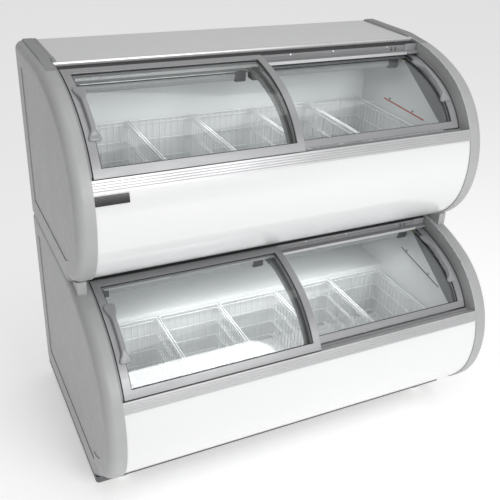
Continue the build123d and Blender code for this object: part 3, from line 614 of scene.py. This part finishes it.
GASKET_W, GASKET_T = 0.0028, 0.0022
GLASS_IN = 0.006                    # glass face in from the lid's outer face
BRUSH_W, BRUSH_DEEP = 0.006, 0.0082
BRUSH_IN = {"left": 0.012, "right": 0.004}      # brush in from the lid's inner edge
BRUSH_TOP, BRUSH_BOTTOM = {"left": 2.6, "right": 3.6}, 2.0    # degrees a brush stops short of the lid's edges
for deck in DECKS:
    for side in SIDES:
        body = f"{deck}_lid_{side}"
        low, high = (c.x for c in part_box(f"{deck}_lid_{side}_frame"))
        outer = LID_IN[side]
        first, last = LID_TOP[side] + TOP_RAIL, LID_BOTTOM[side] - BOTTOM_RAIL
        add_piece(handle(deck, side), f"{deck}_{side}_grip", body, GRIP, 60.0,
                  (f"{deck}_lid_{side}_handle",))
        bm = bmesh.new()
        glass_face = outer + GLASS_IN
        inset = GASKET_W / ARCS[0][0] * 180 / pi
        for x0 in (low + STILE_W, high - STILE_W - GASKET_W):
            arc_strip(bm, deck, x0, x0 + GASKET_W, glass_face - GASKET_T, glass_face, first, last)
        for a0, a1 in ((first, first + inset), (last - 2 * inset, last)):
            arc_strip(bm, deck, low + STILE_W, high - STILE_W, glass_face - GASKET_T, glass_face, a0, a1, 2)
        add_piece(bm, f"{deck}_{side}_glazing_gasket", body, RUBBER)
        bm = bmesh.new()
        if side == "left":
            x0, x1 = high - BRUSH_IN[side] - BRUSH_W, high - BRUSH_IN[side]
            face, tip = outer + LID_T, outer + LID_T + BRUSH_DEEP
        else:
            x0, x1 = low + BRUSH_IN[side], low + BRUSH_IN[side] + BRUSH_W
            face, tip = outer - BRUSH_DEEP, outer
        top, bottom = LID_TOP[side] + BRUSH_TOP[side], LID_BOTTOM[side] - BRUSH_BOTTOM
        arc_strip(bm, deck, x0, x1, face, tip, top, bottom)
        add_piece(bm, f"{deck}_{side}_brush_seal", body, BRUSH)


# ---------------------------------------------------------------- deck edges and lid headers
def rounded_section(points, radius):
    """A (y, z) section with its corners rounded."""
    return [(p.x, p.y) for p in rounded([(y, z, 0) for y, z in points], radius, True)]


def add_strip_dots(bm, deck, forward, below, x0, x1, pitch, radius):
    """A row of low round lenses facing the customer."""
    count = int((x1 - x0) / pitch)
    y, z = place(deck, forward, below)
    for i in range(count):
        x = x0 + (i + 0.5) * pitch
        add_turned(bm, [(radius, -0.0004), (radius, 0.0006), (radius * 0.6, 0.0012), (0, 0.0013)],
                   (x, y, z), (0, -1, 0), 8)


def add_profile(deck, name, points, reach, finish, crease):
    """A piece of one profile of (forward, below) points, run along X from -reach to reach."""
    bm = bmesh.new()
    add_prism(bm, [place(deck, *p) for p in points], -reach, reach)
    add_piece(bm, f"{deck}_{name}", "cabinet", finish, crease)


# Profiles as (forward of the deck's back plane, below its top)
BEAD = ((0.3185, -0.0009), (0.3240, -0.0009), (0.3262, 0.0020), (0.3266, 0.0070), (0.3258, 0.0118),
        (0.3242, 0.0134), (0.3224, 0.0120), (0.3224, 0.0020), (0.3185, 0.0004))
SEAL = ((0.3205, 0.0142), (0.3575, 0.0142), (0.3585, 0.0152), (0.3585, 0.0176), (0.3565, 0.0176),
        (0.3205, 0.0156))
HEADER_LIP = ((0.3585, 0.0262), (0.3612, 0.0262), (0.3622, 0.0272), (0.3616, 0.0284), (0.3590, 0.0284))
CAP = ((0.3230, 0.0150), (0.3612, 0.0150), (0.3618, 0.0412), (0.3812, 0.0432), (0.3812, 0.0476),
       (0.3230, 0.0476))
CHANNEL = ((0.3770, 0.0396), (0.3790, 0.0396), (0.3796, 0.0402), (0.3796, 0.0409), (0.3788, 0.0413),
           (0.3788, 0.0485), (0.3796, 0.0489), (0.3796, 0.0496), (0.3790, 0.0502), (0.3770, 0.0502))
COVER = ((0.3136, 0.0500), (0.3148, 0.0502), (0.3154, 0.0560), (0.3154, 0.0740), (0.3148, 0.0784),
         (0.3136, 0.0786))
CAP_GAP, CAP_W, CAP_ROUND, CAP_BEVEL = 0.0008, 0.052, 0.0020, 0.0012
LENS_ROWS, LENS_FORWARD, LENS_PITCH, LENS_R = (0.0431, 0.0467), 0.3788, 0.0085, 0.0017
LENS_END, CHANNEL_END = 0.06, 0.053             # short of the cheeks
# The shade strip is a black band under the rim strip along the header's lower edge: painted shade.
HEADER_STRIPS = (("rim", EDGE, 0.0786, 0.0040), ("shade", RUBBER, 0.0826, 0.0030))    # top edge, height
STRIP_BACK, STRIP_BEVEL, STRIP_FRONT, STRIP_ROUND = 0.3112, 0.3146, 0.3152, 0.0008
HEADER_SCREWS, SCREW_AT = (0.14, 0.318, 0.555), (0.3586, 0.0222)
HEADER_SCREW = ((0.0042, -0.001), (0.0042, 0.0006), (0.0034, 0.0018), (0.0014, 0.0022), (0.0012, 0.0012),
                (0, 0.0012))
LATCHES, LATCH_AT, LATCH_W = (0.572, 0.590), (0.3600, 0.0300), 0.005
LAMP_AT = (0.298, 0.097)
HOLDER_X = (-TUB_X + 0.0005, -0.0545, 0.012, TUB_X - 0.0425)
HOLDER_W, HOLDER_DEEP, HOLDER_DOWN, HOLDER_UP = 0.042, 0.0215, 0.0205, 0.0180
COLLAR_X = (-TUB_X + 0.0420, -0.0565, 0.0535, TUB_X - 0.0445)
COLLAR, COLLAR_UP = ((0.0172, 0), (0.0188, 0.0004), (0.0188, 0.0020), (0.0172, 0.0024)), 0.001
EDGE_LINE_FIRST, EDGE_LINE_LAST = 3.5, 65.8          # degrees
for deck in DECKS:
    add_profile(deck, "deck_bead", BEAD, INNER - 0.0006, EDGE, 50.0)
    add_profile(deck, "header_seal", SEAL, INNER - 0.001, RUBBER, 50.0)
    add_profile(deck, "header_lip", HEADER_LIP, INNER - 0.001, HEADER_END, 50.0)

    bm = bmesh.new()
    for side in (-1, 1):
        x0, x1 = sorted((side * (INNER - CAP_GAP), side * (INNER - CAP_W)))
        add_prism(bm, rounded_section([place(deck, *p) for p in CAP], CAP_ROUND), x0, x1, CAP_BEVEL)
    add_piece(bm, f"{deck}_header_caps", "cabinet", HEADER_END, 40.0)

    bm = bmesh.new()
    y, z = place(deck, *SCREW_AT)
    for x in HEADER_SCREWS:
        for sign in (-1, 1):
            add_turned(bm, HEADER_SCREW, (sign * x, y, z), (0, -1, 0.1), 20)
    add_piece(bm, f"{deck}_header_screws", "cabinet", BRIGHT, 40.0)

    bm = bmesh.new()
    y, z = place(deck, *LATCH_AT)
    for x in LATCHES:
        add_block(bm, (x, y - 0.0014, z - 0.006), (x + LATCH_W, y + 0.002, z + 0.006), 0.0006)
    add_piece(bm, f"{deck}_header_latches", "cabinet", BLACK, 40.0)

    # light strip on the header's ledge: a shallow channel with two rows of lenses, and a cover below it
    add_profile(deck, "light_channel", CHANNEL, INNER - CHANNEL_END, EDGE, 40.0)
    bm = bmesh.new()
    for below in LENS_ROWS:
        add_strip_dots(bm, deck, LENS_FORWARD, below, -INNER + LENS_END, INNER - LENS_END, LENS_PITCH,
                       LENS_R)
    add_piece(bm, f"{deck}_light_lenses", "cabinet", LENS, 60.0)
    add_profile(deck, "header_cover", COVER, INNER - 0.012, LID, 40.0)
    # the rim strip, and under it the black shade strip, which is painted shade
    for tag, finish, drop, height in HEADER_STRIPS:
        strip = ((STRIP_BACK, drop), (STRIP_BEVEL, drop), (STRIP_FRONT, drop + STRIP_ROUND),
                 (STRIP_FRONT, drop + height - STRIP_ROUND), (STRIP_BEVEL, drop + height),
                 (STRIP_BACK, drop + height))
        add_profile(deck, f"header_{tag}", strip, TUB_X - 0.001, finish, 40.0)

    # lamp holders and the ribbed cover's end collars
    bm = bmesh.new()
    y, z = place(deck, *LAMP_AT)
    for x0 in HOLDER_X:
        add_block(bm, (x0, y - HOLDER_DEEP, z - HOLDER_DOWN), (x0 + HOLDER_W, y + HOLDER_DEEP, z + HOLDER_UP),
                  0.005, 3)
    add_piece(bm, f"{deck}_lamp_holders", "cabinet", PAN, 40.0)
    bm = bmesh.new()
    for x0 in COLLAR_X:
        add_turned(bm, COLLAR, (x0, y, z + COLLAR_UP), (1, 0, 0), 40)
    add_piece(bm, f"{deck}_lamp_collars", "cabinet", EDGE, 40.0)

    # a thin strip along the inner edge of each cheek: the right one, in the bright edge finish, is a painted
    # highlight along that edge, and the left one is in the darker end grey
    for side, name, finish in ((-1, "left", HEADER_END), (1, "right", EDGE)):
        bm = bmesh.new()
        x0, x1 = sorted((side * (INNER - 0.0012), side * (INNER + 0.0018)))
        arc_strip(bm, deck, x0, x1, -0.0007, 0.0024, EDGE_LINE_FIRST, EDGE_LINE_LAST, 60)
        add_piece(bm, f"{deck}_{name}_cheek_edge_line", "cabinet", finish, 60.0)

# lips of the top trims, lapping over the deck's edges
LIP_W, LIP_T = 0.012, 0.0055
bm = bmesh.new()
arc_y, deck_z = place("upper", ARC_START, 0)
for side in (-1, 1):
    x0, x1 = sorted((side * (INNER - 0.0002), side * (INNER - LIP_W)))
    add_block(bm, (x0, arc_y, deck_z - 0.0004), (x1, BACK - 0.0065, deck_z + LIP_T), 0.0014, 3)
    arc_strip(bm, "upper", x0, x1, -LIP_T, 0.0012, 0.0, 4.2, 8)
add_piece(bm, "deck_trim_lips", "cabinet", TRIM, 50.0)

# ---------------------------------------------------------------- load lines on the tub's end walls
LINE_T, LINE_HALF = 0.0006, 0.0025
ARROWS = (0.14, 0.72)       # shares of the line's length
LOAD_LINES = {      # (in front of the back plane, below the deck) at both ends, and the line's finish
    "upper": ((0.260, 0.256), (0.522, 0.267), RED_LINE),
    "lower": ((0.299, 0.174), (0.558, 0.224), GREY_LINE),
}
for deck, (start, end, paint) in LOAD_LINES.items():
    bm = bmesh.new()
    a, b = Vector(place(deck, *start)), Vector(place(deck, *end))
    along = (b - a).normalized()
    up = Vector((-along.y, along.x)) if along.x > 0 else Vector((along.y, -along.x))
    line = [a - up * LINE_HALF, b - up * LINE_HALF, b + up * LINE_HALF, a + up * LINE_HALF]
    arrows = bmesh.new()
    for side in (-1, 1):
        x0, x1 = sorted((side * TUB_X, side * (TUB_X - LINE_T)))
        add_prism(bm, [(p.x, p.y) for p in line], x0, x1)
        for share in ARROWS:
            foot = a + (b - a) * share + up * 0.003
            arrow = [foot, foot + along * 0.007 + up * 0.011, foot + along * 0.002 + up * 0.009,
                     foot - along * 0.002 + up * 0.009, foot - along * 0.007 + up * 0.011]
            add_prism(arrows, [(p.x, p.y) for p in arrow], x0, x1)
    add_piece(bm, f"{deck}_load_lines", "cabinet", paint, 30.0)
    add_piece(arrows, f"{deck}_load_arrows", "cabinet", GREY_LINE, 30.0)

# ---------------------------------------------------------------- rear: louvres, screws, plate, controls
LOUVRE_X, LOUVRE_Z = -0.130, 0.250         # middle of the grille
COLUMNS, COLUMN_PITCH, ROWS, ROW_PITCH = 4, 0.240, 13, 0.018
HOOD_HALF, HOOD_BEVEL = 0.094, 0.0012
HOOD = ((-0.0004, 0.0062), (0.0016, 0.0058), (0.0040, 0.0036), (0.0050, 0.0004), (0.0046, -0.0004),
        (0.0036, 0.0004), (0.0030, 0.0026), (0.0010, 0.0044), (-0.0004, 0.0046))    # out, up
bm = bmesh.new()
for column in range(COLUMNS):
    x = LOUVRE_X + (column - (COLUMNS - 1) / 2) * COLUMN_PITCH
    for row in range(ROWS):
        z = LOUVRE_Z + (row - (ROWS - 1) // 2) * ROW_PITCH
        add_prism(bm, [(BACK + out, z + up) for out, up in HOOD], x - HOOD_HALF, x + HOOD_HALF, HOOD_BEVEL)
add_piece(bm, "louvre_hoods", "cabinet", GALVANISED, 40.0)

SCREW_X = (-0.670, -0.225, 0.225, 0.670)
SCREW_Z = (0.100, 0.395, 0.425, 0.760, 0.795, 1.405)
SCREW_HEAD = ((0.0042, -0.0009), (0.0042, 0.0006), (0.0036, 0.0014), (0.0020, 0.0019), (0, 0.0020))
# Each screw head gets two crossed black bars over its dome in place of its slot: painted shade in the slots.
heads, slot_shade_bars = bmesh.new(), bmesh.new()
for x in SCREW_X:
    for z in SCREW_Z:
        add_turned(heads, SCREW_HEAD, (x, BACK, z), (0, 1, 0), 24)
        turn = random.uniform(0, pi / 2)
        for k in range(2):
            fresh = add_block(slot_shade_bars, (-0.0024, -0.0001, -0.0004), (0.0024, 0.0021, 0.0004), 0.0001, 1)
            spin = Matrix.Rotation(turn + k * pi / 2, 4, "Y")
            bmesh.ops.transform(slot_shade_bars, matrix=Matrix.Translation((x, BACK, z)) @ spin, verts=fresh)
add_piece(heads, "rear_screw_heads", "cabinet", BRIGHT, 50.0, ("rear_screws",))
add_piece(slot_shade_bars, "rear_screw_slot_shade", "cabinet", BLACK)

PLATE_X, PLATE_Z, RIVET_IN = (-0.500, -0.390), (0.600, 0.668), 0.006
RIVET = ((0.0022, 0), (0.0022, 0.0014), (0.0012, 0.0022), (0, 0.0024))
bm = bmesh.new()
add_block(bm, (PLATE_X[0], BACK - 0.0002, PLATE_Z[0]), (PLATE_X[1], BACK + 0.0009, PLATE_Z[1]), 0.0004)
add_piece(bm, "blank_rating_plate", "cabinet", EDGE)
bm = bmesh.new()
for x in (PLATE_X[0] + RIVET_IN, PLATE_X[1] - RIVET_IN):
    for z in (PLATE_Z[0] + RIVET_IN, PLATE_Z[1] - RIVET_IN):
        add_turned(bm, RIVET, (x, BACK, z), (0, 1, 0), 16)
add_piece(bm, "rating_plate_rivets", "cabinet", BRIGHT, 50.0)

knob_low, knob_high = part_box("thermostat_knob")
KNOB = Vector(((knob_low.x + knob_high.x) / 2, knob_low.y, (knob_low.z + knob_high.z) / 2))
FLUTES, FLUTE_DEEP = 24, 0.0009
KNOB_RINGS = ((0.0206, 0.0004, 0.0), (0.0210, 0.0008, 0.0), (0.0210, 0.0030, 0.0), (0.0196, 0.0036, 0.7),
              (0.0192, 0.0140, 0.7), (0.0184, 0.0160, 0.3), (0.0168, 0.0170, 0.0), (0.0110, 0.0172, 0.0))
bm = bmesh.new()
rings = []
for r, d, flute in KNOB_RINGS:
    ring = []
    for k in range(FLUTES * 4):
        turn = 2 * pi * k / (FLUTES * 4)
        reach = r - FLUTE_DEEP * flute * (1 - cos(FLUTES * turn)) / 2
        ring.append(bm.verts.new(KNOB + Vector((reach * cos(turn), d, reach * sin(turn)))))
    rings.append(ring)
for a, b in zip(rings, rings[1:]):
    for k in range(len(a)):
        bm.faces.new((a[k], a[(k + 1) % len(a)], b[(k + 1) % len(a)], b[k]))
bm.faces.new(rings[0])
bm.faces.new(rings[-1])
add_block(bm, KNOB + Vector((-0.0034, 0.0165, -0.0180)), KNOB + Vector((0.0034, 0.0228, 0.0180)), 0.0012, 3)
add_piece(bm, "fluted_knob", "knob", BLACK, 30.0, ("thermostat_knob",))
bm = bmesh.new()
add_block(bm, KNOB + Vector((-0.0007, 0.0222, 0.0040)), KNOB + Vector((0.0007, 0.0231, 0.0172)), 0.0002, 1)
add_piece(bm, "knob_pointer", "knob", PALE)

# the scale: eleven marks over the knob's turn, with every fifth one longer
MARKS, SCALE_FIRST, SCALE_STEP, SCALE_R = 11, -135, 27, 0.0245
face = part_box("power_switch")[0].y + 0.0060
bm = bmesh.new()
for i in range(MARKS):
    turn = Matrix.Rotation(radians(SCALE_FIRST + SCALE_STEP * i), 4, "Y")
    size = 0.0045 if i % 5 == 0 else 0.0028
    fresh = add_block(bm, (-0.0005, -0.0008, SCALE_R), (0.0005, 0.0003, SCALE_R + size), 0.0001, 1)
    bmesh.ops.transform(bm, matrix=Matrix.Translation((KNOB.x, face, KNOB.z)) @ turn, verts=fresh)
add_piece(bm, "thermostat_scale", "cabinet", PALE)

# ---------------------------------------------------------------- casters
HALF_WHEEL = [(0.0031, 0.0091), (0.0062, 0.0091), (0.0068, 0.0086), (0.0070, 0.0066), (0.0150, 0.0052),
              (0.0160, 0.0078), (0.0170, 0.0086), (0.0196, 0.0086), (0.0214, 0.0078), (0.0226, 0.0056),
              (0.0230, 0.0022)]
AXLE_NUT = ((0.0054, 0), (0.0056, 0.0004), (0.0056, 0.0024), (0.0050, 0.0030), (0.0031, 0.0030))
PLATE_BOLT = ((0.0040, 0.0), (0.0040, 0.0020), (0.0034, 0.0026), (0, 0.0027))
BOLT_OUT, BOLT_Z = 0.025, 0.0571
for corner in CORNERS:
    low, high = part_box(f"caster_{corner}_wheel")
    hub = (low + high) / 2
    bm = bmesh.new()
    loop = HALF_WHEEL + [(r, -d) for r, d in reversed(HALF_WHEEL)] + HALF_WHEEL[:1]
    add_turned(bm, loop, hub, (0, 1, 0), 56)
    add_piece(bm, f"{corner}_tread_wheel", f"caster_{corner}_roller", NYLON, 30.0,
              (f"caster_{corner}_wheel",))
    fork_low, fork_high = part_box(f"caster_{corner}_fork")
    bm = bmesh.new()
    for sign, y in ((-1, fork_low.y + 0.002), (1, fork_high.y - 0.002)):
        add_turned(bm, AXLE_NUT, (hub.x, y, hub.z), (0, sign, 0), 6)
    add_piece(bm, f"{corner}_axle_nuts", f"caster_{corner}_swivel", BRIGHT, 30.0)
    bm = bmesh.new()
    plate_x = fork_low.x + 0.021
    for dx in (-BOLT_OUT, BOLT_OUT):
        for dy in (-BOLT_OUT, BOLT_OUT):
            add_turned(bm, PLATE_BOLT, (plate_x + dx, hub.y + dy, BOLT_Z), (0, 0, -1), 6)
    add_piece(bm, f"{corner}_plate_bolts", "cabinet", BRIGHT, 30.0)


# ---------------------------------------------------------------- stage, light and camera
def stage():
    """A plain pale floor."""
    bm = bmesh.new()
    bmesh.ops.create_grid(bm, x_segments=1, y_segments=1, size=16.0)
    mesh = bpy.data.meshes.new("floor")
    bm.to_mesh(mesh)
    bm.free()
    floor = bpy.data.objects.new("floor", mesh)
    bpy.context.scene.collection.objects.link(floor)
    f = Finish("pale_floor", (0.93, 0.93, 0.93), 0.6)
    f.tint(f.noise(2, 2), 0.99, 1.0)
    f.shader.inputs["Emission Color"].default_value = (1, 1, 1, 1)
    f.shader.inputs["Emission Strength"].default_value = 0.34
    mesh.materials.append(f.material)


def area_light(name, at, target, size, energy, size_y=None):
    """A soft light aimed at a point, square unless size_y is given."""
    light = bpy.data.lights.new(name, "AREA")
    light.energy, light.size = energy, size
    if size_y:
        light.shape, light.size_y = "RECTANGLE", size_y
    obj = bpy.data.objects.new(name, light)
    obj.location = at
    obj.rotation_euler = (Vector(target) - Vector(at)).to_track_quat("-Z", "Y").to_euler()
    bpy.context.scene.collection.objects.link(obj)


def camera():
    """The camera at the customer's left, above the upper deck, slightly rolled."""
    eye = (-1.1528, -2.1734, 2.0402)
    yaw, pitch, roll = 0.469958, 0.498517, 0.0489751
    right = Vector((cos(yaw), -sin(yaw), 0))
    ahead = Vector((sin(yaw) * cos(pitch), cos(yaw) * cos(pitch), -sin(pitch)))
    up = right.cross(ahead)
    across = cos(roll) * right + sin(roll) * up
    upward = cos(roll) * up - sin(roll) * right
    data = bpy.data.cameras.new("camera")
    data.lens, data.sensor_width, data.clip_end = 53.06, 36.0, 60.0
    obj = bpy.data.objects.new("camera", data)
    turn = Matrix((across, upward, -ahead)).transposed().to_4x4()
    obj.matrix_world = Matrix.Translation(eye) @ turn
    bpy.context.scene.collection.objects.link(obj)
    bpy.context.scene.camera = obj


stage()
world = bpy.data.worlds.new("studio")
world.use_nodes = True
world.node_tree.nodes["Background"].inputs["Color"].default_value = (1, 1, 1, 1)
world.node_tree.nodes["Background"].inputs["Strength"].default_value = 0.43
bpy.context.scene.world = world
area_light("key", (0.7, -4.6, 2.7), (0, 0, 0.8), 2.2, 124)
for deck, energy in (("upper", 1.2), ("lower", 2.0)):
    y, z = place(deck, 0.285, 0.16)
    area_light(f"{deck}_inside", (0, y, z), (0, y - 0.1, z - 0.3), 1.0, energy, 0.05)
area_light("top", (0.2, -0.2, 4.2), (0, 0, 0.6), 3.0, 32)
camera()
bpy.context.scene.view_settings.view_transform = "Standard"
